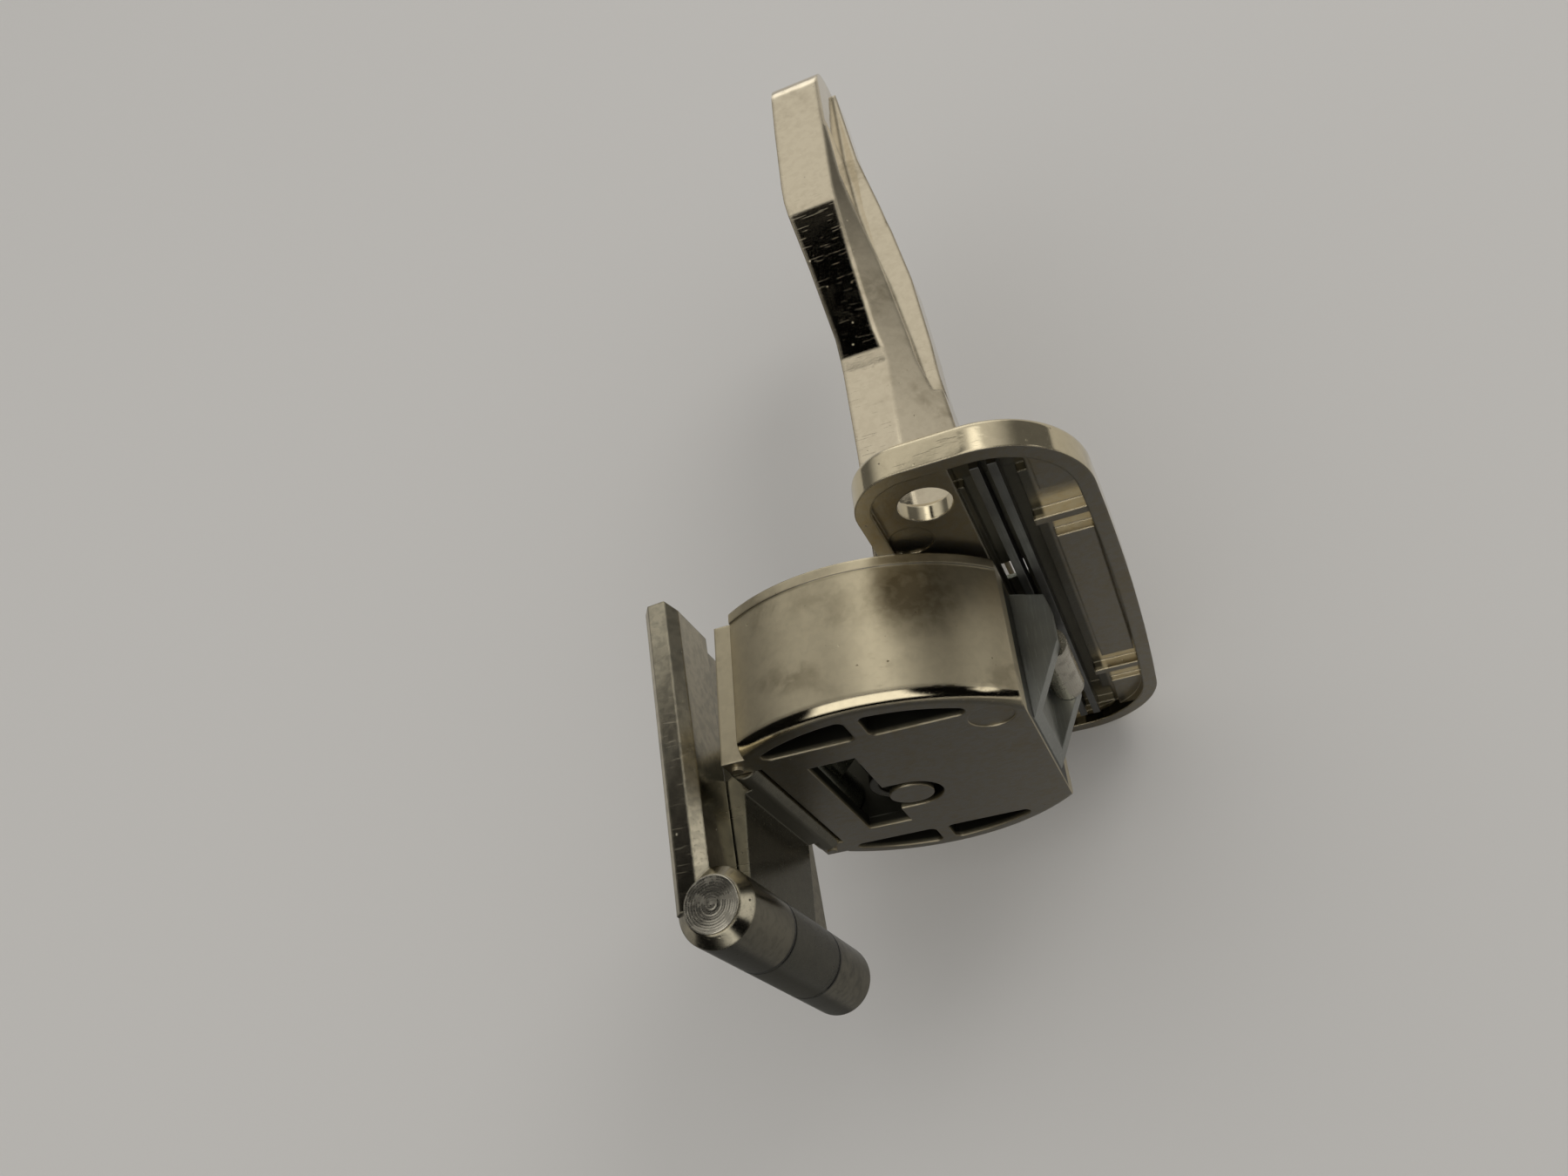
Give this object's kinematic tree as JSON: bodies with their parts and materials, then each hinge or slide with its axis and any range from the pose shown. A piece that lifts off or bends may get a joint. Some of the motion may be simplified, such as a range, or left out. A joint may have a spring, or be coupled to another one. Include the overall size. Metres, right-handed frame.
{
  "type": "concealed cabinet hinge",
  "caption": "Concealed cabinet hinge: a bored cup with a screw flange, a ribbed channel arm on crossed links, closing strips and a folding plate that covers the door edge.",
  "frame": {"origin": "on the axis of the cup, in the face of the door", "axes": "+Y from the door into the cabinet, +X from the door edge towards the middle of the door, +Z along the hinge pins, up on an upright door"},
  "size_m": [0.0411, 0.1074, 0.0536],
  "materials": {
    "plated_casting": "bright nickel-plated die casting with soft ripples and small pits",
    "bare_steel": "dark bare steel with scratches",
    "spring_steel": "rolled spring strip with a fine grain along its length",
    "pin_steel": "turned and riveted pin ends"
  },
  "bodies": {
    "cup": {"cup_and_flange": "plated_casting", "spring_strip_inner": "spring_steel", "spring_strip_outer": "spring_steel", "spring_saddle": "bare_steel", "roller": "pin_steel", "roller_pin": "pin_steel", "front_link_cup_pin": "pin_steel", "edge_link_cup_pin": "pin_steel", "leaf_pin": "pin_steel"},
    "front_link": {"front_link_near": "plated_casting", "front_link_far": "plated_casting"},
    "edge_link": {"edge_link": "plated_casting"},
    "arm": {"arm": "plated_casting", "front_link_arm_pin": "pin_steel", "edge_link_arm_pin": "pin_steel"},
    "leaf": {"leaf": "plated_casting"},
    "plate": {"edge_plate": "plated_casting", "knuckle_pin": "pin_steel"}
  },
  "joints": [
    {"name": "front_link_pivot", "type": "hinge", "parent": "cup", "child": "front_link", "pos_m": [-0.00255, -0.00816, 0], "axis": [0, 0, 1], "range_deg": [0, 55]},
    {"name": "arm_pivot", "type": "hinge", "parent": "front_link", "child": "arm", "pos_m": [0.00396, 0.01095, 0], "axis": [0, 0, 1], "range_deg": [0, 45]},
    {"name": "edge_link_pivot", "type": "hinge", "parent": "cup", "child": "edge_link", "pos_m": [-0.00847, -0.00916, 0], "axis": [0, 0, 1], "range_deg": [0, 46]},
    {"name": "leaf_pivot", "type": "hinge", "parent": "cup", "child": "leaf", "pos_m": [-0.0111, -0.0121, 0], "axis": [0, 0, 1], "range_deg": [0, 50]},
    {"name": "plate_pivot", "type": "hinge", "parent": "leaf", "child": "plate", "pos_m": [-0.0126, -0.0249, 0], "axis": [0, 0, 1], "range_deg": [0, 100]}
  ],
  "couplings": [
    {"joint": "arm_pivot", "follows": "front_link_pivot", "ratio": 0.818},
    {"joint": "edge_link_pivot", "follows": "front_link_pivot", "ratio": 0.836}
  ]
}
